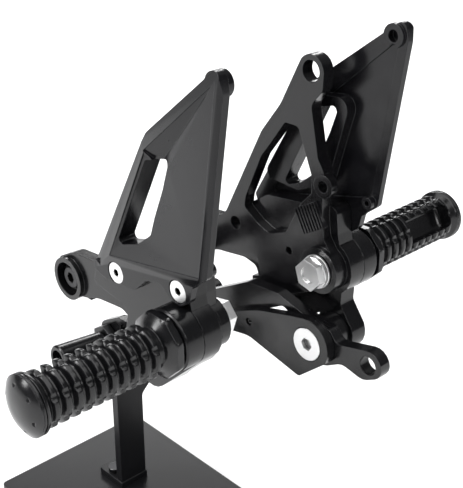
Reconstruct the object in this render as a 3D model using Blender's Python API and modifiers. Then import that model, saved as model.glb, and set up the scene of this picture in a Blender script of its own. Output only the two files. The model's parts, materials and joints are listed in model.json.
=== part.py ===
"""Pair of motorcycle rear-set foot controls on a display stand.

Each side has a footpeg bolted to a bracket, with a heel guard outside the bracket and a foot lever
inside it: the gear lever on the left (-X), the brake pedal on the right (+X). A T-shaped stand holds
both brackets by their frame-mount bosses.

Sizes here are in millimetres and are scaled to metres as each mesh is made. +X is the right of the
bike, +Y forward and +Z up. Outlines are (y, z) pairs measured from the footpeg axis, and u is the
distance sideways from the middle of the bike.
"""

from math import asin, atan2, ceil, cos, hypot, pi, radians, sin

import bmesh
import bpy
from mathutils import Matrix, Vector

MM = 0.001
CLEAR = 0.3  # gap between touching pieces
PEG_HEIGHT = 176.0  # footpeg axis above the floor

# sideways stations of the layers, from the middle of the bike
BRACKET_IN = 44.0
BRACKET_STEP = 52.0
BRACKET_OUT = 62.0
GUARD_IN = BRACKET_OUT + CLEAR
GUARD_OUT = GUARD_IN + 5.7
FLANGE_OUT = GUARD_OUT - 1.7  # face of the guard's screw flange
MOUNT_IN = BRACKET_OUT + CLEAR
MOUNT_OUT = 74.0
PEG_ROOT = MOUNT_OUT + CLEAR
PEG_COLLAR_OUT = 82.0
PEG_FLANGE_IN = 152.0
PEG_BODY_OUT = 156.0
PEG_TIP = 161.0
LEVER_IN, LEVER_OUT = 26.0, 32.0  # brake lever plate
ARM_IN, ARM_OUT = LEVER_OUT + CLEAR, 40.0  # brake pedal arm
GEAR_IN, GEAR_OUT = 22.0, 28.0  # gear lever

# footpeg
PEG_RIB_R = 14.5
PEG_CORE_R = 12.0
PEG_COLLAR_R = 18.5
PEG_FLANGE_R = 16.0
PEG_RIBS = 10
PEG_RIB_PITCH = 6.65
PEG_BOLT_R = 5.0
MOUNT_R = 17.6
BOSS_R = 14.3

# points of interest in side view
FRONT_BOSS = (116.0, -15.5)
TOP_BOSS = (13.5, 115.8)
GEAR_PIVOT = (28.0, -32.0)
BRAKE_PIVOT = (-7.0, -40.5)
GEAR_TOE = (113.0, -67.0)
BRAKE_TOE = (124.0, -72.0)
ROD_HOLE = (-48.0, -39.0)
PLATE_SCREW = (41.8, -46.0)
GUARD_SCREWS = {"front": (50.5, 17.5), "rear": (-1.5, 26.5)}
APEX_BOSS = (-27.7, 140.0)
REAR_NUB = (-19.0, 43.5)

# stand
BASE_X = (-95.0, 19.0)
BASE_Y = (-62.0, 153.0)
BASE_THICK = 6.0
POST_X = (-39.0, -19.0)
POST_Y = (94.0, 99.5)
POST_TOP_X = (-12.0, 0.0)
POST_JOG_Z = -92.0
BAR_Y = (109.0, 123.0)
BAR_Z = (-31.0, -23.0)
FOOT_SCREW_X = (-34.0, -24.0)
FOOT_SCREW_Y = 108.0

BLACK = ((0.022, 0.022, 0.025), 0.32, 0.85)
SATIN = ((0.035, 0.035, 0.038), 0.42, 0.85)
STEEL = ((0.74, 0.74, 0.72), 0.25, 1.0)
DARK_STEEL = ((0.05, 0.05, 0.052), 0.35, 0.9)
BRONZE = ((0.55, 0.38, 0.18), 0.4, 1.0)
PAINT = ((0.02, 0.02, 0.022), 0.5, 0.0)


def clear_scene():
    for obj in list(bpy.data.objects):
        bpy.data.objects.remove(obj, do_unlink=True)


def new_collection(name):
    collection = bpy.data.collections.new(name)
    bpy.context.scene.collection.children.link(collection)
    return collection


clear_scene()
PARTS = new_collection("rear_set_foot_controls")


def finish_material(name, finish):
    color, roughness, metallic = finish
    material = bpy.data.materials.new(name)
    material.use_nodes = True
    shader = material.node_tree.nodes["Principled BSDF"]
    shader.inputs["Base Color"].default_value = (*color, 1.0)
    shader.inputs["Roughness"].default_value = roughness
    shader.inputs["Metallic"].default_value = metallic
    return material


def add_part(obj, name, finish):
    """Names the object, gives it its own material and moves it to the parts collection."""
    obj.name = name
    obj.data.name = name
    obj.data.materials.clear()
    obj.data.materials.append(finish_material(name, finish))
    for collection in list(obj.users_collection):
        collection.objects.unlink(obj)
    PARTS.objects.link(obj)
    obj.data.shade_smooth()
    obj.data.set_sharp_from_angle(angle=radians(30))
    return obj


def join_shapes(obj, tool, operation):
    """Applies a Boolean at once, so that the tool can be removed."""
    modifier = obj.modifiers.new(operation.lower(), "BOOLEAN")
    modifier.operation = operation
    modifier.object = tool
    bpy.context.view_layer.update()
    graph = bpy.context.evaluated_depsgraph_get()
    mesh = bpy.data.meshes.new_from_object(obj.evaluated_get(graph))
    obj.modifiers.remove(modifier)
    old = obj.data
    obj.data = mesh
    bpy.data.meshes.remove(old)
    bpy.data.objects.remove(tool, do_unlink=True)
    return obj


def cut(obj, *tools):
    for tool in tools:
        join_shapes(obj, tool, "DIFFERENCE")
    return obj


def unite(obj, *others):
    for other in others:
        join_shapes(obj, other, "UNION")
    return obj


def place(obj, matrix):
    obj.data.transform(matrix)
    return obj


# ---------------------------------------------------------------- outlines


def arc(center, radius, start, end, step=18.0):
    """Points along an arc, angles in degrees."""
    count = max(2, ceil(abs(end - start) / step))
    return [
        (
            center[0] + radius * cos(radians(start + (end - start) * i / count)),
            center[1] + radius * sin(radians(start + (end - start) * i / count)),
        )
        for i in range(count + 1)
    ]


def circle(center, radius, sides=20):
    return [
        (center[0] + radius * cos(2 * pi * i / sides), center[1] + radius * sin(2 * pi * i / sides))
        for i in range(sides)
    ]


def rounded(corners, step=24.0):
    """An outline whose corners (a, b, radius) are replaced by tangent arcs."""
    points = []
    for i, (a, b, radius) in enumerate(corners):
        here = Vector((a, b))
        to_last = (Vector(corners[i - 1][:2]) - here).normalized()
        to_next = (Vector(corners[(i + 1) % len(corners)][:2]) - here).normalized()
        half = to_last.angle(to_next) / 2
        if radius <= 0 or half > radians(88):
            points.append((a, b))
            continue
        center = here + (to_last + to_next).normalized() * (radius / sin(half))
        foot_in = here + to_last * (to_last.dot(center - here))
        foot_out = here + to_next * (to_next.dot(center - here))
        start = atan2(*(foot_in - center).yx)
        turn = atan2(*(foot_out - center).yx) - start
        turn = (turn + pi) % (2 * pi) - pi
        count = max(1, ceil(abs(turn) / radians(step)))
        for k in range(count + 1):
            angle = start + turn * k / count
            points.append((center.x + radius * cos(angle), center.y + radius * sin(angle)))
    return points


def band(ends, step=20.0):
    """The outline round two circles (a, b, radius) and their outer tangents."""
    (a0, b0, r0), (a1, b1, r1) = ends
    along = atan2(b1 - b0, a1 - a0)
    lean = asin((r0 - r1) / hypot(a1 - a0, b1 - b0))
    turn = (pi / 2 - lean) * 180 / pi
    base = along * 180 / pi
    points = arc((a1, b1), r1, base - turn, base + turn, step)
    return points + arc((a0, b0), r0, base + turn, base - turn + 360, step)


# ---------------------------------------------------------------- solids

SIDE_VIEW = Matrix(((0, 0, 1, 0), (1, 0, 0, 0), (0, 1, 0, 0), (0, 0, 0, 1)))
TOP_VIEW = Matrix.Identity(4)
FRONT_VIEW = Matrix(((1, 0, 0, 0), (0, 0, -1, 0), (0, 1, 0, 0), (0, 0, 0, 1)))


def sheet(loops, low, high, view):
    """A flat outline with holes, thickened from low to high along the view's normal."""
    curve = bpy.data.curves.new("outline", "CURVE")
    curve.dimensions = "2D"
    curve.fill_mode = "BOTH"
    curve.extrude = abs(high - low) / 2 * MM
    for loop in loops:
        spline = curve.splines.new("POLY")
        spline.points.add(len(loop) - 1)
        for point, (a, b) in zip(spline.points, loop):
            point.co = (a * MM, b * MM, 0, 1)
        spline.use_cyclic_u = True
    guide = bpy.data.objects.new("outline", curve)
    bpy.context.scene.collection.objects.link(guide)
    bpy.context.view_layer.update()
    graph = bpy.context.evaluated_depsgraph_get()
    mesh = bpy.data.meshes.new_from_object(guide.evaluated_get(graph))
    edit = bmesh.new()
    edit.from_mesh(mesh)
    bmesh.ops.remove_doubles(edit, verts=edit.verts, dist=1e-6)
    bmesh.ops.recalc_face_normals(edit, faces=edit.faces)
    edit.to_mesh(mesh)
    edit.free()
    obj = bpy.data.objects.new("sheet", mesh)
    obj.matrix_world = guide.matrix_world
    bpy.context.scene.collection.objects.link(obj)
    bpy.data.objects.remove(guide, do_unlink=True)
    place(obj, view @ Matrix.Translation((0, 0, (low + high) / 2 * MM)))
    return place(obj, Matrix.Translation((0, 0, PEG_HEIGHT * MM)))


def plate(side, loops, u0, u1):
    """A plate in side view between two sideways stations of one side."""
    low, high = sorted((side * u0, side * u1))
    return sheet(loops, low, high, SIDE_VIEW)


def bar(side, center, radius, u0, u1, sides=24, radius_out=None, turn=0.0):
    """A round or many-sided bar along X, with a second radius at u1 if it tapers."""
    edit = bmesh.new()
    bmesh.ops.create_cone(
        edit,
        cap_ends=True,
        segments=sides,
        radius1=radius * MM,
        radius2=(radius if radius_out is None else radius_out) * MM,
        depth=(u1 - u0) * MM,
    )
    mesh = bpy.data.meshes.new("bar")
    bmesh.ops.rotate(edit, verts=edit.verts, matrix=Matrix.Rotation(radians(turn), 3, "Z"))
    edit.to_mesh(mesh)
    edit.free()
    obj = bpy.data.objects.new("bar", mesh)
    bpy.context.scene.collection.objects.link(obj)
    place(obj, Matrix.Rotation(side * pi / 2, 4, "Y"))
    middle = Vector((side * (u0 + u1) / 2, center[0], center[1] + PEG_HEIGHT))
    return place(obj, Matrix.Translation(middle * MM))


def turned(side, center, profile, steps=24):
    """A turned shape about an axis along X. The profile is (u, radius) pairs from inner to outer."""
    mesh = bpy.data.meshes.new("turned")
    edit = bmesh.new()
    verts = [edit.verts.new((radius * MM, 0, -u * MM)) for u, radius in profile]
    for first, second in zip(verts, verts[1:]):
        edit.edges.new((first, second))
    edit.to_mesh(mesh)
    edit.free()
    obj = bpy.data.objects.new("turned", mesh)
    bpy.context.scene.collection.objects.link(obj)
    screw = obj.modifiers.new("turn", "SCREW")
    screw.steps = steps
    screw.render_steps = steps
    screw.use_merge_vertices = True
    screw.merge_threshold = 1e-5
    bpy.context.view_layer.update()
    graph = bpy.context.evaluated_depsgraph_get()
    solid = bpy.data.meshes.new_from_object(obj.evaluated_get(graph))
    obj.modifiers.remove(screw)
    obj.data = solid
    bpy.data.meshes.remove(mesh)
    place(obj, Matrix.Rotation(-side * pi / 2, 4, "Y"))
    fix = bmesh.new()
    fix.from_mesh(obj.data)
    bmesh.ops.remove_doubles(fix, verts=fix.verts, dist=1e-6)
    bmesh.ops.recalc_face_normals(fix, faces=fix.faces)
    fix.to_mesh(obj.data)
    fix.free()
    return place(obj, Matrix.Translation(Vector((0, center[0], center[1] + PEG_HEIGHT)) * MM))


def hex_socket(side, center, across, u0, u1):
    return bar(side, center, across / 2 / cos(pi / 6), u0, u1, sides=6)


def box(x, y, z):
    """A box from three (low, high) ranges, z measured from the footpeg axis."""
    edit = bmesh.new()
    bmesh.ops.create_cube(edit, size=1.0)
    mesh = bpy.data.meshes.new("box")
    edit.to_mesh(mesh)
    edit.free()
    obj = bpy.data.objects.new("box", mesh)
    bpy.context.scene.collection.objects.link(obj)
    size = [(high - low) * MM for low, high in (x, y, z)]
    middle = Vector((sum(x) / 2, sum(y) / 2, sum(z) / 2 + PEG_HEIGHT)) * MM
    return place(obj, Matrix.Translation(middle) @ Matrix.Diagonal((*size, 1)))


# ---------------------------------------------------------------- brackets


def pivot_of(side):
    return BRAKE_PIVOT if side > 0 else GEAR_PIVOT


def turn_of(points):
    """Arc points as outline corners that need no rounding."""
    return [(a, b, 0) for a, b in points]


def lower_edge(side, peg_r, pivot_r, web):
    """The outline's lower half, from the web behind the front arm back to the top of the peg boss."""
    pivot = pivot_of(side)
    if side > 0:
        lobe = turn_of(arc(pivot, pivot_r, 30, -205)) + [(-10.5, -22, 4)] if pivot_r else []
        boss = turn_of(arc((0, 0), peg_r, 232 if pivot_r else 262, 115))
        return web + lobe + boss
    lobe = turn_of(arc(pivot, pivot_r, 10, -133))
    return web + lobe + turn_of(arc((0, 0), peg_r, 227, 115))


def spar_frame(side):
    """The inner layer: front arm, peg boss and, on the right, the triangle of spars above it."""
    front_y, front_z = FRONT_BOSS
    arm = [(88, 5, 8), (front_y - 3, front_z + 18, 10), (front_y + 12, front_z + 10, 6)]
    arm += [(front_y + 12, front_z - 9, 6), (front_y - 12, front_z - 9, 9), (88, -19, 10), (66, -16.5, 6)]
    if side > 0:
        top = [(-0.5, 20, 2), (1.2, 32, 4), (1, 60, 4), (6, 67, 4), (12.5, 97, 5), (4.5, 106, 5)]
        top += turn_of(arc(TOP_BOSS, 9.4, 190, 20)) + [(36, 92, 14), (51, 72, 12), (82, 10, 8)]
        web = [(57.5, -20, 4), (57, -36, 7), (46, -38, 5), (24, -26, 8)]
        return rounded(top + arm + web + turn_of(arc((0, 0), BOSS_R, 275, 115)))
    top = [(-6, 22, 4), (-4, 38, 5), (24, 32, 8), (50, 29, 8), (70, 14, 6)]
    return rounded(top + arm + lower_edge(side, BOSS_R, 13.5, [(57.5, -20, 5), (50, -34, 8)]))


def holder_layer(side):
    """The outer layer: the hump that the guard screws to, the peg boss and the pivot lobe."""
    hump = [(-6, 22, 5), (-4, 39, 5), (24, 33, 8), (52, 29, 8), (73, 15, 6), (78, 0, 3), (46, -4, 6)]
    web = [(46, -20, 8), (38, -41, 6), (16, -40, 6)] if side > 0 else [(50, -22, 8)]
    return rounded(hump + lower_edge(side, MOUNT_R, 14.2 if side > 0 else 13.5, web))


def window_loop():
    top = [(64, 26, 4), (51, 56, 3), (42, 68, 8), (32, 82, 3), (21.5, 82, 3), (10, 55, 5)]
    return rounded(top + [(9.8, 45, 3), (18, 36, 3), (29, 14, 5), (43, 8, 8), (54, 12, 4), (65, 19, 3)])


def make_bracket(side, name):
    loops = [spar_frame(side)]
    if side > 0:
        loops.append(window_loop())
    body = plate(side, loops, BRACKET_IN, BRACKET_STEP)
    unite(
        body,
        plate(side, [holder_layer(side)], BRACKET_STEP - 1.5, BRACKET_OUT),
        bar(side, (0, 0), BOSS_R, BRACKET_IN - 3, BRACKET_IN + 3, sides=32),
        bar(side, FRONT_BOSS, 13.6, BRACKET_IN + 0.8, BRACKET_STEP + 3, sides=32),
    )
    if side > 0:
        unite(body, bar(side, (0.5, 52), 7.0, BRACKET_IN - 1.2, BRACKET_IN + 4, sides=24))
        serrations(body, side)
    # the front arm slopes off towards its lower edge
    edge = [(104, -26), (55, -8)]
    bevel_edge(body, side, edge, (-0.35, -0.94), BRACKET_IN, 16, -5)
    ends = (BRACKET_IN - 9, BRACKET_OUT + 5)
    cut(
        body,
        bar(side, (0, 0), PEG_BOLT_R + CLEAR, *ends, sides=20),
        bar(side, FRONT_BOSS, 4.3, *ends, sides=16),
        bar(side, FRONT_BOSS, 10.6, BRACKET_IN + 4, ends[1], sides=28),
        bar(side, pivot_of(side), 5.3, *ends, sides=20),
    )
    for at in GUARD_SCREWS.values():
        cut(body, bar(side, at, 3.2, BRACKET_STEP + 1, ends[1], sides=12))
    if side > 0:
        cut(
            body,
            bar(side, TOP_BOSS, 6.3, *ends),
            bar(side, (0.5, 52), 3.6, BRACKET_IN - 9, BRACKET_STEP + 1, sides=14),
            bar(side, (73, 5.4), 4.4, *ends, sides=16),
            bar(side, (26.3, 2.6), 2.6, BRACKET_IN - 9, BRACKET_STEP + 5, sides=12),
        )
    return add_part(body, name, SATIN)


def serrations(body, side):
    """A raised pad with slanting teeth on the inner face, above the peg."""
    pad_center = Vector((9.5, 30.0))
    along = Vector((-0.87, 0.5)).normalized()
    across = Vector((along.y, -along.x))
    half_long, half_wide, teeth = 8.5, 8.0, 7
    corners = [
        pad_center + along * a * half_long + across * b * half_wide
        for a, b in ((-1, -1), (1, -1), (1, 1), (-1, 1))
    ]
    unite(body, plate(side, [[tuple(corner) for corner in corners]], BRACKET_IN - 2.2, BRACKET_IN + 2))
    pitch = 2 * half_long / teeth
    for i in range(teeth):
        middle = pad_center + along * (-half_long + pitch * (i + 0.5))
        width = pitch * 0.28
        groove = [
            middle + along * a * width + across * b * (half_wide + 2)
            for a, b in ((-1, -1), (1, -1), (1, 1), (-1, 1))
        ]
        cut(body, plate(side, [[tuple(corner) for corner in groove]], BRACKET_IN - 4, BRACKET_IN - 0.9))


# ---------------------------------------------------------------- heel guards


def relief(side, corners, faces, beyond):
    """A cutter whose near surface follows (y, z, u) corners and whose far side is flat, at u = beyond."""
    edit = bmesh.new()
    near = [edit.verts.new((side * u * MM, y * MM, (z + PEG_HEIGHT) * MM)) for y, z, u in corners]
    far = [edit.verts.new((side * beyond * MM, y * MM, (z + PEG_HEIGHT) * MM)) for y, z, u in corners]
    for face in faces:
        edit.faces.new([near[i] for i in face])
        edit.faces.new([far[i] for i in reversed(face)])
    sides = [edge for edge in edit.edges if len(edge.link_faces) == 1 and edge.verts[0] in near]
    for edge in sides:
        first, second = (near.index(vert) for vert in edge.verts)
        edit.faces.new((near[first], near[second], far[second], far[first]))
    bmesh.ops.triangulate(edit, faces=edit.faces)
    bmesh.ops.recalc_face_normals(edit, faces=edit.faces)
    mesh = bpy.data.meshes.new("relief")
    edit.to_mesh(mesh)
    edit.free()
    obj = bpy.data.objects.new("relief", mesh)
    bpy.context.scene.collection.objects.link(obj)
    return obj


def bevel_edge(body, side, crease, outward, face, reach, drop):
    """Slopes a plate's face off beyond a straight crease. A negative drop slopes the inner face."""
    (y0, z0), (y1, z1) = crease
    away = 1 if drop > 0 else -1
    lift = face + away * 0.05
    far_y, far_z = outward[0] * reach, outward[1] * reach
    corners = [(y0, z0, lift), (y1, z1, lift), (y1 + far_y, z1 + far_z, face - drop)]
    corners.append((y0 + far_y, z0 + far_z, face - drop))
    return cut(body, relief(side, corners, [(0, 1, 2, 3)], face + away * 6))


def make_guard(side, name):
    # the right guard reaches further forward, and its slot is narrower
    wide, narrow = (5, 3) if side > 0 else (0, 0)
    outline = rounded(
        [
            (-36.5, 138, 4),
            (-34, 151, 4),
            (-28, 146, 3),
            (20 + wide, 106, 3),
            (69 + wide, 20, 2),
            (71, 13.5, 3),
            (61, 10.5, 8),
            (44, 12.2, 6),
            (35, 12.5, 6),
            (24, 23, 5),
            (13, 26, 7),
            (5, 20.5, 6),
            (-2, 17.2, 8),
            (-11, 24, 6),
            (-13, 33, 4),
            (-23.8, 42, 2),
        ]
    )
    slot = [(20 - narrow, 92, 2), (5.5, 95.5, 2.5), (4, 92, 2), (8.5, 79, 0), (16.5, 61, 0), (20.5, 50, 4)]
    slot += [(30, 42, 3), (47.5 - narrow, 36, 2.5)]
    rim = rounded([(-6, 102, 7), (22 + wide, 98, 5), (56 + wide, 38, 5), (32, 36.5, 5), (9, 47, 9)])
    recess = rounded([(-31, 139, 2), (14, 99, 3), (59, 27, 2), (54, 26, 2), (-19, 46, 2)])
    body = plate(side, [outline], GUARD_IN, GUARD_OUT)
    unite(body, bar(side, APEX_BOSS, 6.6, GUARD_IN - (1.5 if side > 0 else 4.8), GUARD_IN + 1.6))
    high = GUARD_OUT - 0.2
    corners = [
        (-32.5, 143, high),
        (-19.8, 41.7, high),
        (53, 28, high),
        (19.6, 96.4, high),
        (3.5, 96.5, GUARD_OUT - 1.8),
        (21, 48.5, GUARD_OUT - 3.2),
        (46.5, 37, GUARD_OUT - 1.2),
        (21, 94, GUARD_OUT - 0.9),
    ]
    faces = [(0, 1, 5, 4), (1, 2, 6, 5), (2, 3, 7, 6), (3, 0, 4, 7), (4, 5, 6, 7)]
    cut(body, relief(side, corners, faces, GUARD_OUT + 4))
    valley = [(-30, 141, GUARD_OUT - 0.8), (20.5 - narrow, 97, GUARD_OUT - 0.9)]
    valley += [(12, 91.5, GUARD_OUT - 4.7), (2.8, 91.5, GUARD_OUT - 1.5)]
    cut(body, relief(side, valley, [(0, 1, 2), (0, 2, 3)], GUARD_OUT + 4.5))
    bevel_edge(body, side, [(59.4, 14.7), (14.4, 107)], (0.899, 0.438), GUARD_OUT, 14, 4.6)
    bevel_edge(body, side, [(25.5, 91), (-40, 148)], (0.656, 0.755), GUARD_OUT, 12, 3.4)
    bevel_edge(body, side, [(-35.7, 152), (-18.8, 34)], (-0.99, -0.14), GUARD_OUT, 6, 3.4)
    flange = [(82, 22.9, GUARD_OUT + 0.05), (-30, 40.8, GUARD_OUT + 0.05), (-30, 36.8, FLANGE_OUT)]
    flange += [(82, 16.3, FLANGE_OUT), (82, -6, FLANGE_OUT), (-30, -6, FLANGE_OUT)]
    cut(body, relief(side, flange, [(0, 1, 2, 3), (3, 2, 5, 4)], GUARD_OUT + 4))
    cut(body, plate(side, [recess], GUARD_IN - 3, GUARD_IN + 0.8))
    unite(body, plate(side, [rim], GUARD_IN - 6.3, GUARD_IN + 1.4))
    unite(body, bar(side, REAR_NUB, 3.6, GUARD_IN - 4, GUARD_IN + 2, sides=20))
    cut(
        body,
        bar(side, APEX_BOSS, 3.3, GUARD_IN - 7, GUARD_IN + 2.4, sides=18),
        bar(side, REAR_NUB, 1.7, GUARD_IN - 6, GUARD_IN + 0.5, sides=14),
        plate(side, [rounded(slot)], GUARD_IN - 9, GUARD_OUT + 9),
    )
    sink = [(GUARD_IN - 3, 0.0), (GUARD_IN - 3, 3.2), (FLANGE_OUT - 3.8, 3.2), (FLANGE_OUT - 0.9, 6.6)]
    sink += [(GUARD_OUT + 3, 6.6), (GUARD_OUT + 3, 0.0)]
    for at in GUARD_SCREWS.values():
        cut(body, turned(side, at, sink, steps=28))
    return add_part(body, name, SATIN)


# ---------------------------------------------------------------- screws


def flat_screw(side, name, center, head_r, shank_r, u_tip, u_face, socket, finish=STEEL, head_depth=3.2):
    """A countersunk screw whose face looks away from u_tip."""
    outward = 1 if u_face > u_tip else -1
    points = [
        (u_tip, 0.0),
        (u_tip, shank_r - 0.4),
        (u_tip + outward * 0.5, shank_r),
        (u_face - outward * head_depth, shank_r),
        (u_face - outward * 0.6, head_r),
        (u_face, head_r),
        (u_face, 0.0),
    ]
    screw = turned(side, center, points)
    depth = sorted((u_face - outward * head_depth * 0.8, u_face + outward))
    cut(screw, hex_socket(side, center, socket, *depth))
    return add_part(screw, name, finish)


def hex_bolt(side, name, center, u_head, u_tip, across, shank_r, flange_r, finish=STEEL):
    """A hex bolt with a flange under its head. u_head is the outer face of the head."""
    head = bar(side, center, across / 2 / cos(pi / 6), u_head, u_head + 5.2, sides=6, turn=12)
    unite(head, bar(side, center, flange_r, u_head + 5.0, u_head + 6.6))
    unite(head, bar(side, center, shank_r, u_head + 6.0, u_tip, sides=20))
    cut(head, bar(side, center, across * 0.3, u_head - 1, u_head + 1.2, sides=16))
    return add_part(head, name, finish)


# ---------------------------------------------------------------- footpegs


def make_peg(side, name):
    """The ribbed peg, with lengthwise flutes, a milled pocket and a threaded root."""
    profile = [(PEG_ROOT, 5.2), (PEG_ROOT, 15.2), (PEG_ROOT + 1.5, 15.2), (PEG_ROOT + 1.5, PEG_COLLAR_R)]
    profile += [(PEG_COLLAR_OUT - 1, PEG_COLLAR_R), (PEG_COLLAR_OUT, PEG_COLLAR_R - 3)]
    profile += [(PEG_COLLAR_OUT + 1, PEG_CORE_R), (PEG_COLLAR_OUT + 3, PEG_CORE_R)]
    for i in range(PEG_RIBS):
        middle = PEG_FLANGE_IN - 2.5 - PEG_RIB_PITCH * (PEG_RIBS - 1 - i)
        shape = [(-2.6, PEG_CORE_R), (-1.5, PEG_RIB_R - 0.4), (0, PEG_RIB_R), (1.5, PEG_RIB_R - 0.4)]
        profile += [(middle + u, radius) for u, radius in shape + [(2.6, PEG_CORE_R)]]
    profile += [(PEG_BODY_OUT - 1.6, PEG_FLANGE_R), (PEG_BODY_OUT, PEG_FLANGE_R)]
    profile += [(PEG_BODY_OUT, 9.0), (PEG_BODY_OUT - 4, 9.0), (PEG_BODY_OUT - 4, 0.0)]
    hollow = [(PEG_ROOT + 26, 0.0), (PEG_ROOT + 26, 5.2), (PEG_ROOT, 5.2)]
    body = turned(side, (0, 0), profile + hollow, steps=24)
    facets = bar(side, (0, 0), PEG_COLLAR_R * 1.4, PEG_ROOT - 2, PEG_COLLAR_OUT + 0.5)
    octagon_r = (PEG_COLLAR_R - 1.2) / cos(pi / 8)
    cut(facets, bar(side, (0, 0), octagon_r, PEG_ROOT - 3, PEG_COLLAR_OUT + 3, sides=8))
    cut(body, facets)
    for i in range(6):
        angle = radians(32 + 60 * i)
        at = ((PEG_RIB_R + 0.9) * cos(angle), (PEG_RIB_R + 0.9) * sin(angle))
        cut(body, bar(side, at, 2.4, PEG_COLLAR_OUT + 3.5, PEG_FLANGE_IN - 0.2, sides=8))
    # the pocket opens backwards and up on the right peg, forwards and up on the left one
    lean = radians(28)
    reach = Vector((-side * cos(lean), sin(lean)))
    across = Vector((-reach.y, reach.x))
    low, high = 4.0, 20.0
    pocket_u = (PEG_FLANGE_IN - 41, PEG_FLANGE_IN - 2)
    corners = [reach * a + across * b for a, b in ((low, -7.6), (high, -7.6), (high, 7.6), (low, 7.6))]
    cut(body, plate(side, [[tuple(corner) for corner in corners]], *pocket_u))
    return add_part(body, name, BLACK)


def make_end_cap(side, name):
    """The domed end cap, with a ring of small holes for a pin spanner."""
    spigot_in = PEG_BODY_OUT - 3.4
    profile = [
        (spigot_in, 0.0),
        (spigot_in, 8.6),
        (PEG_BODY_OUT + CLEAR, 8.6),
        (PEG_BODY_OUT + CLEAR, PEG_FLANGE_R),
        (PEG_TIP - 3.0, PEG_FLANGE_R),
        (PEG_TIP - 1.4, PEG_FLANGE_R - 1.0),
        (PEG_TIP + 0.4, PEG_FLANGE_R - 3.8),
        (PEG_TIP + 1.8, PEG_FLANGE_R - 8.0),
        (PEG_TIP + 2.4, 0.0),
    ]
    body = turned(side, (0, 0), profile)
    for i in range(6):
        angle = 2 * pi * (i + 0.25) / 6
        at = (12.2 * cos(angle), 12.2 * sin(angle))
        cut(body, bar(side, at, 1.3, PEG_TIP - 2.6, PEG_TIP + 3, sides=10))
    return add_part(body, name, BLACK)


def make_peg_mount(side, name):
    """The spacer drum between the bracket and the peg."""
    profile = [
        (MOUNT_IN, PEG_BOLT_R + CLEAR),
        (MOUNT_IN, MOUNT_R),
        (MOUNT_OUT - 1, MOUNT_R),
        (MOUNT_OUT, MOUNT_R - 1),
        (MOUNT_OUT, PEG_BOLT_R + CLEAR),
        (MOUNT_IN, PEG_BOLT_R + CLEAR),
    ]
    return add_part(turned(side, (0, 0), profile, steps=32), name, BLACK)


# ---------------------------------------------------------------- levers


def make_ring(side, name, center, u0, u1, outer, inner, finish):
    ring = [(u0, inner), (u0, outer), (u1, outer), (u1, inner), (u0, inner)]
    return add_part(turned(side, center, ring), name, finish)


def make_gear_lever(side, name):
    """A flat lever with a hub at the pivot, a short link arm and a boss for the toe peg."""
    py, pz = GEAR_PIVOT
    ty, tz = GEAR_TOE
    outline = rounded(
        [
            (py - 12, pz - 3, 9),
            (py - 4, pz - 13, 8),
            (py + 30, pz - 18, 20),
            (ty - 10, tz - 11, 7),
            (ty + 10, tz - 8, 8),
            (ty + 9, tz + 9, 7),
            (ty - 9, tz + 19, 5),
            (ty - 21, tz + 20, 5),
            (py + 38, pz - 3, 14),
            (py + 26, pz + 20, 6),
            (py + 14, pz + 22, 6),
            (py - 2, pz + 14, 10),
        ]
    )
    slot = band([(py + 34, pz - 12, 3.0), (py + 54, pz - 21, 2.4)])
    body = plate(side, [outline, slot], GEAR_IN, GEAR_OUT)
    unite(body, bar(side, GEAR_PIVOT, 11.5, GEAR_OUT - 2, BRACKET_IN - CLEAR, sides=28))
    cut(
        body,
        bar(side, GEAR_PIVOT, 7.5, GEAR_IN - 9, BRACKET_IN + 9),
        bar(side, GEAR_TOE, 3.4, GEAR_IN - 9, GEAR_OUT + 9, sides=14),
        bar(side, (ty - 14, tz + 13), 3.0, GEAR_IN - 9, GEAR_OUT + 9, sides=12),
        bar(side, (py + 18, pz + 14), 2.6, GEAR_IN - 9, GEAR_OUT + 9, sides=12),
    )
    return add_part(body, name, BLACK)


def make_pedal_arm(side, name):
    """The brake pedal arm, with a hub at its pivot and its push-rod arm behind."""
    py, pz = BRAKE_PIVOT
    ty, tz = BRAKE_TOE
    ry, rz = ROD_HOLE
    outline = rounded(
        [
            (py + 9, pz + 14, 6),
            (24, -21, 8),
            (50, -23.5, 6),
            (86, -44, 20),
            (ty + 4, tz + 11, 8),
            (ty + 11, tz - 4, 7),
            (ty - 3, tz - 11, 7),
            (82, -58, 20),
            (44, -42, 3),
            (19, -27.5, 4),
            (8, -33, 3),
            (6, -50, 9),
            (py - 8, pz - 14, 9),
            (py - 22, pz - 6, 8),
            (ry + 3, rz - 11, 9),
            (ry - 12, rz - 3, 8),
            (ry - 6, rz + 11, 9),
            (ry + 10, rz + 7, 8),
            (py - 17, pz + 5, 5),
            (py - 12, pz + 12, 5),
        ]
    )
    body = plate(side, [outline], ARM_IN, ARM_OUT)
    unite(body, bar(side, BRAKE_PIVOT, 12.0, ARM_OUT - 2, BRACKET_STEP - 1.5 - CLEAR, sides=28))
    cut(
        body,
        bar(side, BRAKE_PIVOT, 7.5, ARM_IN - 9, BRACKET_OUT),
        bar(side, BRAKE_TOE, 3.4, ARM_IN - 9, ARM_OUT + 9, sides=14),
        bar(side, ROD_HOLE, 5.8, ARM_IN - 9, ARM_OUT + 9, sides=22),
        bar(side, PLATE_SCREW, 2.3, ARM_IN - 9, ARM_OUT - 2, sides=12),
    )
    return add_part(body, name, BLACK)


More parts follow.
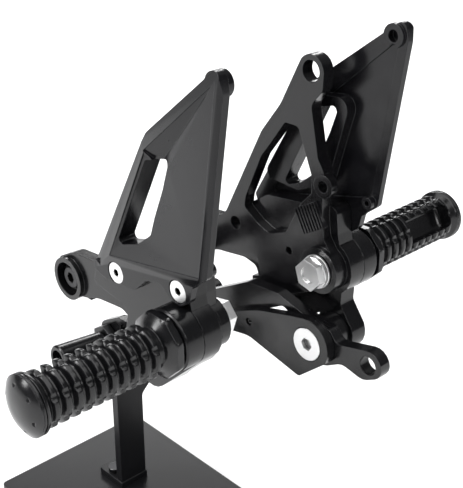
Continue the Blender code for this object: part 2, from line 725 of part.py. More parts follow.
def make_lever_plate(side, name):
    """The plate that closes the pedal's hub, with a countersink for the pivot screw."""
    outline = [(34, -34.5, 20), (8, -27.3, 20)] + turn_of(arc(BRAKE_PIVOT, 16.3, 78, 205))
    outline += [(-1.5, -65, 3), (42, -56, 10), (64, -60, 6), (66, -50, 6), (52, -42.5, 10)]
    body = plate(side, [rounded(outline[::-1]), circle(PLATE_SCREW, 2.6, 14)], LEVER_IN, LEVER_OUT)
    cut(body, bar(side, BRAKE_PIVOT, 5.3, LEVER_IN - 1, LEVER_OUT + 1))
    cut(body, bar(side, BRAKE_PIVOT, 10.9, LEVER_IN - 0.02, LEVER_IN + 4.2, radius_out=5.3))
    return add_part(body, name, SATIN)


def make_toe_peg(side, name, center, u0, length, tilt, tip_r):
    """A round toe peg with a hollow tip and a threaded root."""
    root_r = tip_r - 1.4
    profile = [(12, 0.0), (12, 3.9), (0, 3.9), (0, root_r - 0.8), (0.8, root_r), (length - 1, tip_r)]
    profile += [(length, tip_r - 1), (length, tip_r - 3), (length - 8, tip_r - 3), (length - 8, 0.0)]
    body = turned(side, (0, -PEG_HEIGHT), profile, steps=24)
    place(body, Matrix.Rotation(-side * radians(tilt), 4, "Y"))
    middle = Vector((side * u0, center[0], center[1] + PEG_HEIGHT)) * MM
    return add_part(place(body, Matrix.Translation(middle)), name, BLACK)


def make_toe_bolt(side, name, center, u_head, u_tip):
    """A button-head screw through the lever into the toe peg."""
    profile = [(u_head, 0.0), (u_head, 3.4), (u_head + 1.4, 5.4), (u_head + 3, 5.6), (u_head + 3, 3.0)]
    screw = turned(side, center, profile + [(u_tip, 3.0), (u_tip, 0.0)], steps=20)
    cut(screw, hex_socket(side, center, 3.6, u_head - 1, u_head + 1.8))
    return add_part(screw, name, STEEL)


# ---------------------------------------------------------------- stand


def pillar(at, radius, low, high, sides=16):
    """A round bar along Z, at (x, y)."""
    return sheet([circle(at, radius, sides)], low, high, TOP_VIEW)


def spindle(at, radius, y0, y1, sides=16):
    """A round bar along Y, at (x, z)."""
    return sheet([circle(at, radius, sides)], -y1, -y0, FRONT_VIEW)


def make_stand():
    """A base plate, a flat post with a sideways jog, and a crossbar between the brackets' bosses."""
    base_top = -PEG_HEIGHT + BASE_THICK
    corners = [(x, y, 3) for x, y in ((BASE_X[0], BASE_Y[0]), (BASE_X[1], BASE_Y[0]))]
    corners += [(x, y, 3) for x, y in ((BASE_X[1], BASE_Y[1]), (BASE_X[0], BASE_Y[1]))]
    base = sheet([rounded(corners)], -PEG_HEIGHT, base_top, TOP_VIEW)
    foot_z = base_top + CLEAR
    top_z = BAR_Z[1] - 1
    outline = [(POST_X[0], foot_z + 2, 0), (POST_X[1], foot_z + 2, 0), (POST_X[1], POST_JOG_Z - 12, 4)]
    outline += [(POST_TOP_X[1], POST_JOG_Z + 6, 6), (POST_TOP_X[1], top_z, 3), (POST_TOP_X[0], top_z, 3)]
    outline += [(POST_TOP_X[0], POST_JOG_Z + 12, 6), (POST_X[0], POST_JOG_Z - 2, 4)]
    post = sheet([rounded(outline)], -POST_Y[1], -POST_Y[0], FRONT_VIEW)
    foot_x, foot_y = (POST_X[0] - 0.6, POST_X[1] + 0.6), (POST_Y[0] - 0.6, FOOT_SCREW_Y + 9)
    pad_x = (POST_TOP_X[0] + 0.8, POST_TOP_X[1] - 0.8)
    unite(
        post,
        box(foot_x, foot_y, (foot_z, foot_z + 4)),
        box(pad_x, (POST_Y[1] - 1, BAR_Y[0] - CLEAR), (BAR_Z[0] + 0.5, top_z - 1)),
    )
    at = (sum(POST_TOP_X) / 2, sum(BAR_Z) / 2)
    cut(post, spindle(at, 2.8, POST_Y[0] - 2, BAR_Y[0] + 2))
    half = BRACKET_IN - CLEAR
    crossbar = box((-half + 1, half - 1), BAR_Y, BAR_Z)
    for side in (-1, 1):
        tab_x = sorted((side * (half - 6), side * half))
        unite(crossbar, box(tab_x, (BAR_Y[0] - 0.5, BAR_Y[1] + 0.5), (BAR_Z[0] - 0.5, FRONT_BOSS[1] + 8)))
        cut(crossbar, bar(side, FRONT_BOSS, 4.3, half - 9, half + 3, sides=16))
    cut(crossbar, spindle(at, 2.8, BAR_Y[0] - 2, BAR_Y[0] + 9))
    for x in FOOT_SCREW_X:
        cut(post, pillar((x, FOOT_SCREW_Y), 2.8, foot_z - 2, foot_z + 6))
        cut(base, pillar((x, FOOT_SCREW_Y), 2.8, base_top - 4.5, base_top + 2))
    add_part(base, "stand_base", PAINT)
    add_part(post, "stand_post", PAINT)
    add_part(crossbar, "stand_crossbar", PAINT)
    head_y = POST_Y[0] - CLEAR
    post_screw = spindle(at, 3.6, head_y - 3, head_y, sides=24)
    unite(post_screw, spindle(at, 2.5, head_y - 1, BAR_Y[0] + 8))
    add_part(post_screw, "stand_post_screw", DARK_STEEL)
    for x, word in zip(FOOT_SCREW_X, ("left", "right")):
        head = pillar((x, FOOT_SCREW_Y), 4.4, foot_z + 4 + CLEAR, foot_z + 7 + CLEAR, sides=24)
        unite(head, pillar((x, FOOT_SCREW_Y), 2.5, base_top - 4, foot_z + 5))
        add_part(head, f"stand_foot_screw_{word}", DARK_STEEL)


# ---------------------------------------------------------------- assembly


def cap_screw(side, name, center, u_face, u_floor, u_tip, head_r, shank_r, socket, finish):
    """A cap screw whose head stands on a floor at u_floor and whose shank runs inwards to u_tip."""
    points = [(u_tip, 0.0), (u_tip, shank_r), (u_floor, shank_r), (u_floor, head_r)]
    points += [(u_face - 0.6, head_r), (u_face, head_r - 0.6), (u_face, 0.0)]
    screw = turned(side, center, points)
    cut(screw, hex_socket(side, center, socket, u_face - 3, u_face + 1))
    return add_part(screw, name, finish)


def make_side(side, word):
    make_bracket(side, f"{word}_bracket")
    make_guard(side, f"{word}_heel_guard")
    for where, at in GUARD_SCREWS.items():
        name = f"{word}_guard_screw_{where}"
        flat_screw(side, name, at, 6.2, 2.9, BRACKET_STEP + 1.5, FLANGE_OUT - 0.2, 4.0)
    make_peg_mount(side, f"{word}_peg_mount")
    make_peg(side, f"{word}_footpeg")
    make_end_cap(side, f"{word}_peg_end_cap")
    washer = (BRACKET_IN - 3 - CLEAR - 1.6, BRACKET_IN - 3 - CLEAR)
    head_face = washer[0] - CLEAR - 6.6
    hex_bolt(side, f"{word}_peg_bolt", (0, 0), head_face, PEG_ROOT + 24, 17.0, PEG_BOLT_R - 0.3, 9.8)
    make_ring(side, f"{word}_peg_washer", (0, 0), *washer, 10.4, PEG_BOLT_R + CLEAR, STEEL)
    floor = BRACKET_IN + 4 + CLEAR
    name = f"{word}_frame_mount_screw"
    cap_screw(side, name, FRONT_BOSS, floor + 4.4, floor, BRACKET_IN - 8, 7.0, 4.0, 6.0, DARK_STEEL)


def make_gear_side():
    hub = (GEAR_IN + 0.1, BRACKET_IN - CLEAR)
    make_gear_lever(-1, "gear_lever")
    make_ring(-1, "gear_pivot_bush", GEAR_PIVOT, *hub, 7.2, 5.2, BRONZE)
    washer = (GEAR_IN - CLEAR - 1.4, GEAR_IN - CLEAR)
    make_ring(-1, "gear_pivot_washer", GEAR_PIVOT, *washer, 10.5, 5.2, STEEL)
    face = washer[0] - CLEAR - 3.4
    flat_screw(-1, "gear_pivot_screw", GEAR_PIVOT, 9.0, 4.9, BRACKET_OUT - 1, face, 6.0, head_depth=3.4)
    nut = (GEAR_OUT + CLEAR, GEAR_OUT + CLEAR + 5.5)
    make_nut("gear_toe_peg_nut", GEAR_TOE, *nut)
    make_toe_peg(-1, "gear_toe_peg", GEAR_TOE, nut[1] + 0.8, 34.0, 3.0, 8.5)
    make_toe_bolt(-1, "gear_toe_peg_bolt", GEAR_TOE, GEAR_IN - CLEAR - 3, nut[1] + 8)


def make_nut(name, center, u0, u1):
    nut = bar(-1, center, 19 / 2 / cos(pi / 6), u0, u1, sides=6, turn=30)
    cut(nut, bar(-1, center, 3.3, u0 - 1, u1 + 1, sides=16))
    return add_part(nut, name, DARK_STEEL)


def make_brake_side():
    make_pedal_arm(1, "brake_pedal_arm")
    make_lever_plate(1, "brake_lever_plate")
    tip, face = BRACKET_OUT - 1, LEVER_IN - 0.3
    flat_screw(1, "brake_pivot_screw", BRAKE_PIVOT, 10.4, 4.9, tip, face, 7.0, head_depth=4.2)
    hub = (ARM_IN + 0.3, BRACKET_STEP - 1.5 - CLEAR)
    make_ring(1, "brake_pivot_bush", BRAKE_PIVOT, *hub, 7.2, 5.2, BRONZE)
    make_toe_peg(1, "brake_toe_peg", BRAKE_TOE, ARM_OUT + CLEAR, 34.0, 0.0, 8.0)
    make_toe_bolt(1, "brake_toe_peg_bolt", BRAKE_TOE, ARM_IN - CLEAR - 3, ARM_OUT + 9)
    grub = bar(1, PLATE_SCREW, 2.0, LEVER_IN + 1.2, ARM_OUT - 2.5, sides=14)
    cut(grub, hex_socket(1, PLATE_SCREW, 2.0, LEVER_IN, LEVER_IN + 3.4))
    add_part(grub, "brake_plate_screw", DARK_STEEL)


def hang(name, side, pivot, pieces):
    """Parents the pieces of one lever to an empty on its pivot axis."""
    axis = bpy.data.objects.new(name, None)
    axis.location = Vector((side * GEAR_IN, pivot[0], pivot[1] + PEG_HEIGHT)) * MM
    axis.empty_display_size = 0.02
    PARTS.objects.link(axis)
    for piece in pieces:
        obj = bpy.data.objects[piece]
        obj.data.transform(Matrix.Translation(-axis.location))
        obj.parent = axis


make_stand()
make_side(-1, "left")
make_side(1, "right")
make_gear_side()
make_brake_side()
gear = ["gear_lever", "gear_pivot_bush", "gear_toe_peg_nut", "gear_toe_peg", "gear_toe_peg_bolt"]
brake = ["brake_pedal_arm", "brake_lever_plate", "brake_pivot_bush", "brake_toe_peg"]
brake += ["brake_toe_peg_bolt", "brake_plate_screw"]
hang("gear_lever_axis", -1, GEAR_PIVOT, gear)
hang("brake_pedal_axis", 1, BRAKE_PIVOT, brake)
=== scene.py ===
"""Looks of a pair of motorcycle rear-set foot controls on a display stand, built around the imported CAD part.

Everything is in metres, in the part's frame: +X right, +Y forward, +Z up. The footpegs and their end caps
are replaced by detailed turned pieces. Everything else keeps its CAD mesh, with edges rounded by modifiers.
All finishes are node-based.
"""

import json
from math import cos, pi, radians, sin, sqrt

import bmesh
import bpy
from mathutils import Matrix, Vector

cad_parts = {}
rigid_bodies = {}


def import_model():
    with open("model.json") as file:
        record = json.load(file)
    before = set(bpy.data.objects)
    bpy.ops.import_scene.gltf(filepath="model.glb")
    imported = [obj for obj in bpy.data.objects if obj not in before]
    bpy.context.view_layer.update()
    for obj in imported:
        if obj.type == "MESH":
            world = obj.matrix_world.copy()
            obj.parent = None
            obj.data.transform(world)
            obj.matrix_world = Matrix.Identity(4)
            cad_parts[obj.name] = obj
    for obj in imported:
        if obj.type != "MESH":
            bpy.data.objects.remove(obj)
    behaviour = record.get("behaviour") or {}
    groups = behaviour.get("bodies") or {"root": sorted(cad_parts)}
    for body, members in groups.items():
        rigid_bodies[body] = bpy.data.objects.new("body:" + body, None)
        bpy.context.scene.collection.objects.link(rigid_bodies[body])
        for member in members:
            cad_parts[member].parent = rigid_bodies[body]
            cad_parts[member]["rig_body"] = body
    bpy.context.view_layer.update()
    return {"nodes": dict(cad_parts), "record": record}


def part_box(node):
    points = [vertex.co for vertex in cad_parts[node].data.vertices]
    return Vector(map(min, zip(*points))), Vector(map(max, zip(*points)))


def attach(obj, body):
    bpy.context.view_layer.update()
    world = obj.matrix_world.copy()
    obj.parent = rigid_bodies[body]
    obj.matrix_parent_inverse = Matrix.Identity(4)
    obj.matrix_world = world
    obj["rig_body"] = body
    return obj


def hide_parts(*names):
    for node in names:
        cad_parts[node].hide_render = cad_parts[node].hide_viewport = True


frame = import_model()
NODES = frame["nodes"]

MM = 0.001
SLOT_OF = {part["node"]: part["material_slot"] for part in frame["record"]["subparts"]}
BODY_OF = {node: obj["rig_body"] for node, obj in NODES.items()}


# ---------------------------------------------------------------- node helpers


class Finish:
    """A material under construction: a Principled shader and short calls that add and wire nodes."""

    def __init__(self, name, color, roughness, metallic, specular=0.5):
        self.material = bpy.data.materials.new(name)
        self.material.use_nodes = True
        self.tree = self.material.node_tree
        self.shader = self.tree.nodes["Principled BSDF"]
        self.shader.inputs["Base Color"].default_value = (*color, 1.0)
        self.shader.inputs["Roughness"].default_value = roughness
        self.shader.inputs["Metallic"].default_value = metallic
        self.shader.inputs["Specular IOR Level"].default_value = specular
        self.material.diffuse_color = (*color, 1.0)
        self.coords = self.tree.nodes.new("ShaderNodeTexCoord").outputs["Object"]

    def node(self, kind, settings=None, **inputs):
        made = self.tree.nodes.new(kind)
        for key, value in (settings or {}).items():
            setattr(made, key, value)
        for key, value in inputs.items():
            socket = made.inputs[key.replace("_", " ")]
            if isinstance(value, bpy.types.NodeSocket):
                self.tree.links.new(value, socket)
            else:
                socket.default_value = value
        return made

    def link(self, output, socket):
        self.tree.links.new(output, self.shader.inputs[socket])

    def noise(self, scale, detail=2.0, stretch=(1.0, 1.0, 1.0)):
        mapped = self.node("ShaderNodeMapping", Vector=self.coords, Scale=stretch)
        return self.node(
            "ShaderNodeTexNoise", Vector=mapped.outputs["Vector"], Scale=scale, Detail=detail
        ).outputs["Fac"]

    def spread(self, value, low, high, out_low, out_high):
        """Maps the stretch low..high of a value onto out_low..out_high."""
        return self.node(
            "ShaderNodeMapRange",
            Value=value,
            From_Min=low,
            From_Max=high,
            To_Min=out_low,
            To_Max=out_high,
        ).outputs["Result"]

    def math(self, operation, first, second):
        made = self.tree.nodes.new("ShaderNodeMath")
        made.operation = operation
        for socket, value in zip(made.inputs, (first, second)):
            if isinstance(value, bpy.types.NodeSocket):
                self.tree.links.new(value, socket)
            else:
                socket.default_value = value
        return made.outputs["Value"]

    def mix(self, factor, first, second):
        made = self.tree.nodes.new("ShaderNodeMix")
        made.data_type = "RGBA"
        sockets = (made.inputs["Factor"], made.inputs[6], made.inputs[7])
        for socket, value in zip(sockets, (factor, first, second)):
            if isinstance(value, bpy.types.NodeSocket):
                self.tree.links.new(value, socket)
            else:
                socket.default_value = value if isinstance(value, float) else (*value, 1.0)
        return made.outputs[2]

    def edges(self, radius):
        """(normal with rounded edges, mask that is 1 on sharp edges)."""
        bevel = self.node("ShaderNodeBevel", {"samples": 4}, Radius=radius)
        true_normal = self.tree.nodes.new("ShaderNodeNewGeometry").outputs["Normal"]
        dot = self.tree.nodes.new("ShaderNodeVectorMath")
        dot.operation = "DOT_PRODUCT"
        self.tree.links.new(bevel.outputs["Normal"], dot.inputs[0])
        self.tree.links.new(true_normal, dot.inputs[1])
        return bevel.outputs["Normal"], self.spread(dot.outputs["Value"], 0.985, 0.86, 0.0, 1.0)

    def bump(self, height, strength, depth, normal=None):
        inputs = {"Height": height, "Strength": strength, "Distance": depth}
        if normal is not None:
            inputs["Normal"] = normal
        self.link(self.node("ShaderNodeBump", **inputs).outputs["Normal"], "Normal")


SOCKET_PAINTED_SHADE = (0.01, 0.01, 0.01)
SOCKET_SHADE_REACH = 6.0 * MM  # how far the painted socket shade looks for walls around it


def anodised(name, color, worn_and_highlight_color, roughness, grain, lines, gloss=0.5):
    """Black anodised aluminium: a fine blasted grain, faint tool marks, dye that varies, and lighter edges
    that are partly rubbed wear and partly painted edge highlight.
    """
    finish = Finish(name, color, roughness, 0.1, gloss)
    rounded_normal, edge = finish.edges(0.55 * MM)
    patches = finish.noise(38.0, 3.0)
    fine = finish.noise(2600.0, 1.0)
    marks = finish.noise(900.0, 1.5, lines)
    # lighter sharp edges in noisy patches: partly rubbed wear, partly painted edge highlight
    wear_and_edge_highlight = finish.math("MULTIPLY", edge, finish.spread(finish.noise(240.0, 3.0), 0.38, 0.68, 0.15, 0.75))
    dye = finish.mix(
        finish.spread(patches, 0.3, 0.7, 0.0, 1.0),
        tuple(part * 0.82 for part in color),
        tuple(part * 1.2 for part in color),
    )
    finish.link(finish.mix(wear_and_edge_highlight, dye, worn_and_highlight_color), "Base Color")
    gloss_map = finish.math("ADD", finish.spread(patches, 0.3, 0.7, -0.035, 0.035), roughness)
    gloss_map = finish.math("ADD", gloss_map, finish.spread(marks, 0.35, 0.65, -0.03, 0.03))
    finish.link(gloss_map, "Roughness")
    height = finish.math("ADD", finish.math("MULTIPLY", fine, grain), finish.math("MULTIPLY", marks, 0.6))
    finish.bump(height, 0.35, 0.02 * MM, rounded_normal)
    return finish.material


def steel(name, color, roughness, scratch, blotch=0.05):
    """Bright or blackened steel with fine turning marks and a few handling scratches, edges lightened partly
    as wear and partly as painted highlight, and painted shade down in sockets.
    """
    finish = Finish(name, color, roughness, 1.0)
    rounded_normal, edge = finish.edges(0.3 * MM)
    patches = finish.noise(120.0, 3.0)
    fine = finish.noise(3200.0, 1.0)
    scratches = finish.noise(420.0, 2.0, (1.0, 9.0, 1.2))
    # painted shade: ambient occlusion turns the colour black down in sockets and tight recesses
    socket_shade_ao = finish.node("ShaderNodeAmbientOcclusion", {"samples": 16}, Distance=SOCKET_SHADE_REACH).outputs["AO"]
    tone = finish.mix(
        finish.spread(patches, 0.3, 0.7, 0.0, 1.0),
        tuple(part * (1 - blotch * 2) for part in color),
        tuple(min(1.0, part * (1 + blotch)) for part in color),
    )
    # lighter edges, partly wear and partly painted edge highlight
    tone_with_light_edges = finish.mix(finish.math("MULTIPLY", edge, 0.4), tone, (0.86, 0.86, 0.85))
    unshaded_amount = finish.spread(socket_shade_ao, 0.34, 0.56, 0.0, 1.0)  # painted socket shade: 0 down in a socket, 1 out in the open
    finish.link(finish.mix(unshaded_amount, SOCKET_PAINTED_SHADE, tone_with_light_edges), "Base Color")
    gloss_map = finish.math("ADD", finish.spread(scratches, 0.35, 0.7, -0.03, 0.03), roughness)
    finish.link(gloss_map, "Roughness")
    speckle = finish.math("MULTIPLY", fine, 0.3)
    height = finish.math("ADD", speckle, finish.math("MULTIPLY", scratches, scratch))
    finish.bump(height, 0.06, 0.005 * MM, rounded_normal)
    return finish.material


def powder_coat(name, color):
    """Satin black powder coat with its orange-peel texture and a little dust."""
    finish = Finish(name, color, 0.42, 0.0, 0.2)
    rounded_normal, edge = finish.edges(0.7 * MM)
    peel = finish.noise(900.0, 2.0)
    dust = finish.noise(25.0, 3.0)
    tone = finish.mix(finish.spread(dust, 0.4, 0.8, 0.0, 0.4), color, tuple(part * 1.6 for part in color))
    # lighter edges, partly wear and partly painted edge highlight
    finish.link(finish.mix(finish.math("MULTIPLY", edge, 0.25), tone, (0.09, 0.09, 0.092)), "Base Color")
    finish.link(finish.spread(dust, 0.3, 0.75, 0.3, 0.36), "Roughness")
    finish.bump(peel, 0.4, 0.05 * MM, rounded_normal)
    return finish.material


def bronze(name):
    """Bearing bronze with a dull, uneven tone."""
    finish = Finish(name, (0.55, 0.38, 0.18), 0.34, 1.0)
    rounded_normal, edge = finish.edges(0.3 * MM)
    patches = finish.noise(160.0, 3.0)
    tone = finish.mix(finish.spread(patches, 0.3, 0.7, 0.0, 1.0), (0.42, 0.27, 0.12), (0.62, 0.44, 0.22))
    # lighter edges, partly wear and partly painted edge highlight
    finish.link(finish.mix(finish.math("MULTIPLY", edge, 0.4), tone, (0.8, 0.62, 0.36)), "Base Color")
    finish.link(finish.spread(patches, 0.3, 0.7, 0.28, 0.44), "Roughness")
    finish.bump(finish.noise(1500.0, 2.0), 0.3, 0.02 * MM, rounded_normal)
    return finish.material


def pale_floor(name):
    """Matte white studio paper."""
    finish = Finish(name, (0.9, 0.9, 0.9), 0.6, 0.0, 0.2)
    soft = finish.noise(1.5, 2.0)
    finish.link(finish.mix(soft, (0.9, 0.9, 0.905), (0.93, 0.93, 0.93)), "Base Color")
    return finish.material


PLATE_LINES = (1.0, 0.12, 0.12)  # tool marks drawn out along the plates
ROUND_LINES = (1.0, 0.03, 0.03)  # turning marks ring the X axis
FINISHES = {
    "bracket_anodised": anodised(
        "bracket_anodised", (0.0045, 0.0045, 0.0052), (0.07, 0.07, 0.075), 0.2, 0.3, PLATE_LINES, 0.4
    ),
    "guard_anodised": anodised(
        "guard_anodised", (0.005, 0.005, 0.006), (0.07, 0.07, 0.075), 0.22, 0.35, PLATE_LINES, 0.32
    ),
    "lever_anodised": anodised(
        "lever_anodised", (0.0045, 0.0045, 0.0052), (0.07, 0.07, 0.075), 0.22, 0.6, PLATE_LINES
    ),
    "peg_anodised": anodised(
        "peg_anodised", (0.0045, 0.0045, 0.0052), (0.06, 0.06, 0.065), 0.2, 0.3, ROUND_LINES
    ),
    "stainless_steel": steel("stainless_steel", (0.8, 0.8, 0.8), 0.34, 0.1, 0.0),
    "black_steel": steel("black_steel", (0.05, 0.05, 0.052), 0.38, 0.5),
    "bush_bronze": bronze("bush_bronze"),
    "stand_paint": powder_coat("stand_paint", (0.008, 0.008, 0.009)),
}


# ---------------------------------------------------------------- CAD nodes that stay


def soften(obj, width):
    """Rounds a CAD node's edges by modifiers, and shades its turned walls smooth."""
    weld = obj.modifiers.new("weld", "WELD")
    weld.merge_threshold = 0.004 * MM
    flat = obj.modifiers.new("flat_faces", "DECIMATE")
    flat.decimate_type = "DISSOLVE"
    flat.angle_limit = radians(0.6)
    bevel = obj.modifiers.new("edge_round", "BEVEL")
    bevel.width = width
    bevel.segments = 2
    bevel.limit_method = "ANGLE"
    bevel.angle_limit = radians(32)
    bevel.use_clamp_overlap = True
    bevel.miter_outer = "MITER_ARC"
    for polygon in obj.data.polygons:
        polygon.use_smooth = True
    smooth = obj.modifiers.new("normals", "WEIGHTED_NORMAL")
    smooth.keep_sharp = True


def dress(obj, slot):
    obj.data.materials.clear()
    obj.data.materials.append(FINISHES[slot])


for node, obj in NODES.items():
    dress(obj, SLOT_OF[node])


# ---------------------------------------------------------------- turned pieces in detail

# all in millimetres; distances along X are from the middle of the part
GRIP_OUT = 152.0  # where the ribs meet the end flange
FLANGE_END = 156.0
COLLAR_END = 81.0
FLUTE_START = 84.5
BOLT_HOLE_R, BOLT_HOLE_DEPTH = 5.2, 26  # in the collar end
CAP_BORE_R, CAP_BORE_FLOOR = 9.0, 152.4  # the recess that takes the end cap
RIB_PITCH = 6.65
RIBS = 10
RIB_CREST, RIB_VALLEY = 14.6, 11.4
COLLAR_R, COLLAR_FLAT, FLATS_ABOVE_R = 18.4, 17.2, 16.0
FLUTES = [32 + 60 * i for i in range(6)]  # degrees around the grip
FLUTE_CENTER, FLUTE_R = 15.9, 2.5
FLUTE_BLEND = 0.5
POCKET_ANGLE = {1: 152.0, -1: 28.0}  # degrees, by side
POCKET_REACH = 16.0
POCKET_SIZE = (39, 24, 15.2)
CAP_FACE = 156.3
PIN_HOLES, PIN_HOLE_R, PIN_RING_R = 6, 1.3, 12.2
PATH_STEP = 0.36
FLANGE_R = 16.0


def smooth_step(low, high, value):
    t = min(1.0, max(0.0, (value - low) / (high - low)))
    return t * t * (3 - 2 * t)


def soft_min(first, second, blend):
    """The smaller of two lengths, with a rounded change from one to the other."""
    h = max(blend - abs(first - second), 0.0) / blend
    return min(first, second) - h * h * blend / 4


def turned_mesh(name, side, path, shape, steps):
    """A closed mesh turned about the X axis through the footpegs. Lengths are in millimetres.

    path is (u, radius) pairs from one end on the axis to the other, and shape(u, radius, angle)
    gives the radius at an angle, for flats, flutes and the like.
    """
    low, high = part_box("right_footpeg")
    center_y, center_z = (low.y + high.y) / 2, (low.z + high.z) / 2
    mesh = bmesh.new()
    rings = []
    for u, radius in path:
        if radius == 0.0:
            rings.append([mesh.verts.new((side * u * MM, center_y, center_z))])
            continue
        ring = []
        for step in range(steps):
            angle = 2 * pi * step / steps
            r = shape(u, radius, angle) * MM
            at = (side * u * MM, center_y + r * cos(angle), center_z + r * sin(angle))
            ring.append(mesh.verts.new(at))
        rings.append(ring)
    for first, second in zip(rings, rings[1:]):
        for step in range(steps):
            after = (step + 1) % steps
            corners = [first[step % len(first)], first[after % len(first)]]
            corners += [second[after % len(second)], second[step % len(second)]]
            mesh.faces.new(list(dict.fromkeys(corners)))
    bmesh.ops.recalc_face_normals(mesh, faces=mesh.faces)
    data = bpy.data.meshes.new(name)
    mesh.to_mesh(data)
    mesh.free()
    obj = bpy.data.objects.new(name, data)
    bpy.context.scene.collection.objects.link(obj)
    return obj


def carve(obj, cutters):
    """Cuts the cutters from a piece and removes them."""
    for cutter in cutters:
        modifier = obj.modifiers.new("cut", "BOOLEAN")
        modifier.operation = "DIFFERENCE"
        modifier.solver = "EXACT"
        modifier.object = cutter
    bpy.context.view_layer.update()
    graph = bpy.context.evaluated_depsgraph_get()
    data = bpy.data.meshes.new_from_object(obj.evaluated_get(graph))
    obj.modifiers.clear()
    old = obj.data
    obj.data = data
    bpy.data.meshes.remove(old)
    for cutter in cutters:
        bpy.data.objects.remove(cutter, do_unlink=True)
    return obj


def finish_piece(obj, node, sharp=38):
    """Shades a piece, rides it on its node's body and lets it stand for the node."""
    for polygon in obj.data.polygons:
        polygon.use_smooth = True
    obj.data.set_sharp_from_angle(angle=radians(sharp))
    obj.data.materials.clear()
    obj.data.materials.append(FINISHES[SLOT_OF[node]])
    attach(obj, BODY_OF[node])
    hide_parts(node)
    return obj


def plain(u, radius, angle):
    return radius


def grip_radius(u, radius, angle):
    """Octagon flats on the collar, flutes along the ribs."""
    if u < COLLAR_END and radius > FLATS_ABOVE_R:
        turn = (angle + pi / 8) % (pi / 4) - pi / 8
        return min(radius, COLLAR_FLAT / cos(turn))
    if FLUTE_START < u < GRIP_OUT and radius > 10:
        for flute in FLUTES:
            off = (angle - radians(flute) + pi) % (2 * pi) - pi
            reach = FLUTE_CENTER * sin(off)
            if cos(off) > 0 and abs(reach) < FLUTE_R:
                bottom = FLUTE_CENTER * cos(off) - sqrt(FLUTE_R**2 - reach**2)
                radius = soft_min(radius, bottom, FLUTE_BLEND)
    return radius


def rounded_block(name, size, location, turn, radius):
    """A block with all its edges rounded, used as a cutter."""
    bar = bmesh.new()
    bmesh.ops.create_cube(bar, size=1.0)
    bmesh.ops.scale(bar, vec=[part * MM for part in size], verts=bar.verts)
    data = bpy.data.meshes.new(name)
    bar.to_mesh(data)
    bar.free()
    obj = bpy.data.objects.new(name, data)
    obj.location = location
    obj.rotation_euler = (turn, 0.0, 0.0)
    bpy.context.scene.collection.objects.link(obj)
    bevel = obj.modifiers.new("round", "BEVEL")
    bevel.width = radius * MM
    bevel.segments = 5
    bevel.limit_method = "NONE"
    return obj


def footpeg(side, node):
    """The grip: collar, wave-shaped ribs with flutes, end flange and a milled pocket."""
    low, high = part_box(node)
    root = min(abs(low.x), abs(high.x)) / MM
    path = [(root + BOLT_HOLE_DEPTH, 0.0), (root + BOLT_HOLE_DEPTH, BOLT_HOLE_R), (root, BOLT_HOLE_R)]
    path += [(root, 15.2), (root + 1.4, 15.2)]
    path += [(root + 1.6, COLLAR_R - 0.4), (root + 2.1, COLLAR_R), (root + 5.0, COLLAR_R)]
    path += [(root + 5.6, COLLAR_R - 0.5), (root + 6.2, 16.4), (root + 7.6, 14.2), (root + 8.4, 13.2)]
    first_rib = GRIP_OUT - 2.5 - RIB_PITCH * (RIBS - 1)
    u = root + 9.4
    while u < GRIP_OUT - 0.6:
        phase = abs((u - first_rib) / RIB_PITCH - round((u - first_rib) / RIB_PITCH))
        rise = 1 - smooth_step(0.14, 0.45, phase) if u > first_rib - RIB_PITCH / 2 else 0.0
        path.append((u, RIB_VALLEY + (RIB_CREST - RIB_VALLEY) * rise))
        u += PATH_STEP
    path += [(GRIP_OUT - 0.3, 12.6), (GRIP_OUT + 1.2, 13.6)]
    path += [(154.2, FLANGE_R - 0.5), (154.9, FLANGE_R - 0.05), (FLANGE_END, FLANGE_R - 0.05)]
    path += [(FLANGE_END, CAP_BORE_R), (CAP_BORE_FLOOR, CAP_BORE_R), (CAP_BORE_FLOOR, 0.0)]
    body = turned_mesh(f"{node}_grip", side, path, grip_radius, 192)
    center_y, center_z = (low.y + high.y) / 2, (low.z + high.z) / 2
    angle = radians(POCKET_ANGLE[side])
    reach = POCKET_REACH * MM
    at = (side * (GRIP_OUT - 21.5) * MM, center_y + reach * cos(angle), center_z + reach * sin(angle))
    block = rounded_block("pocket", POCKET_SIZE, at, angle, 3.0)
    finish_piece(carve(body, [block]), node)


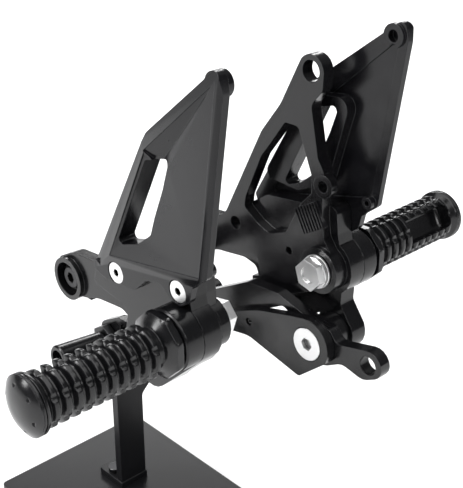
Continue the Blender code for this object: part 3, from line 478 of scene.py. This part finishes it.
def end_cap(side, node):
    """The domed cap with its rim line and a ring of pin-spanner holes."""
    low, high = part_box(node)
    tip = max(abs(low.x), abs(high.x)) / MM
    inner = min(abs(low.x), abs(high.x)) / MM
    path = [(inner, 0.0), (inner, 8.6), (CAP_FACE, 8.6), (CAP_FACE, FLANGE_R - 0.4)]
    path += [(CAP_FACE + 0.4, FLANGE_R)]
    path += [(CAP_FACE + 1.3, FLANGE_R), (CAP_FACE + 1.5, FLANGE_R - 0.35)]
    path += [(CAP_FACE + 1.8, FLANGE_R - 0.35), (CAP_FACE + 2.0, FLANGE_R)]
    rings = 26
    for ring in range(rings + 1):
        part = 1 - (ring / rings) ** 1.4
        radius = FLANGE_R * part
        path.append((tip - (tip - CAP_FACE - 2.3) * part**2.5, radius if ring < rings else 0.0))
    cap = turned_mesh(f"{node}_dome", side, path, plain, 144)
    center_y, center_z = (low.y + high.y) / 2, (low.z + high.z) / 2
    cutters = []
    for i in range(PIN_HOLES):
        angle = 2 * pi * (i + 0.25) / PIN_HOLES
        drill = bmesh.new()
        bmesh.ops.create_cone(
            drill, cap_ends=True, segments=24, radius1=PIN_HOLE_R * MM, radius2=PIN_HOLE_R * MM, depth=8 * MM
        )
        data = bpy.data.meshes.new("drill")
        drill.to_mesh(data)
        drill.free()
        obj = bpy.data.objects.new("drill", data)
        reach = PIN_RING_R * MM
        across = side * (tip + 1.3) * MM
        obj.location = (across, center_y + reach * cos(angle), center_z + reach * sin(angle))
        obj.rotation_euler = (0.0, pi / 2, 0.0)
        bpy.context.scene.collection.objects.link(obj)
        cutters.append(obj)
    finish_piece(carve(cap, cutters), node, 30)


for side, word in ((-1, "left"), (1, "right")):
    footpeg(side, f"{word}_footpeg")
    end_cap(side, f"{word}_peg_end_cap")


# ---------------------------------------------------------------- studio


def studio_floor():
    """A wide, flat, pale floor."""
    mesh = bmesh.new()
    bmesh.ops.create_grid(mesh, x_segments=8, y_segments=8, size=15.0)
    data = bpy.data.meshes.new("studio_floor")
    mesh.to_mesh(data)
    mesh.free()
    obj = bpy.data.objects.new("studio_floor", data)
    bpy.context.scene.collection.objects.link(obj)
    obj.data.materials.append(pale_floor("studio_floor"))


def softbox(name, location, aim, size, power):
    light = bpy.data.lights.new(name, "AREA")
    light.shape = "RECTANGLE"
    light.size, light.size_y = size
    light.energy = power
    obj = bpy.data.objects.new(name, light)
    obj.location = location
    obj.rotation_euler = (Vector(aim) - Vector(location)).to_track_quat("-Z", "Y").to_euler()
    bpy.context.scene.collection.objects.link(obj)


def studio_lights():
    world = bpy.data.worlds.new("studio_air")
    world.use_nodes = True
    background = world.node_tree.nodes["Background"]
    background.inputs["Color"].default_value = (0.97, 0.98, 1.0, 1.0)
    background.inputs["Strength"].default_value = 0.16
    bpy.context.scene.world = world
    middle = (0.0, 0.03, 0.2)
    overhead = bpy.data.lights.new("overhead_silk", "SUN")
    overhead.energy = 3.4
    overhead.angle = radians(95)
    sun = bpy.data.objects.new("overhead_silk", overhead)
    sun.rotation_euler = Vector((0.2, 0.05, -1.0)).to_track_quat("-Z", "Y").to_euler()
    bpy.context.scene.collection.objects.link(sun)
    softbox("key_left", (-1.2, 0.7, 1.0), middle, (0.35, 1.1), 14.0)
    softbox("strip_front", (-0.1, -1.5, 0.9), middle, (1.0, 0.22), 5.0)
    softbox("rim_behind", (1.0, 1.2, 0.9), middle, (1.2, 0.3), 10.0)


def photo_camera():
    """The photograph's view: heading 43 degrees right of forward, 26 degrees down."""
    heading, pitch = radians(43.0), radians(25.94)
    look = Vector((sin(heading) * cos(pitch), cos(heading) * cos(pitch), -sin(pitch)))
    camera = bpy.data.cameras.new("photo_camera")
    camera.sensor_fit = "HORIZONTAL"
    camera.sensor_width = 36.0
    camera.lens = 80.49
    camera.clip_start = 0.01
    obj = bpy.data.objects.new("photo_camera", camera)
    obj.location = (-0.3598, -0.3564, 0.4531)
    obj.rotation_euler = look.to_track_quat("-Z", "Y").to_euler()
    bpy.context.scene.collection.objects.link(obj)
    bpy.context.scene.camera = obj


studio_floor()
studio_lights()
photo_camera()
bpy.context.scene.view_settings.view_transform = "Standard"

for node, obj in NODES.items():
    if not obj.hide_render:
        soften(obj, 0.35 * MM)
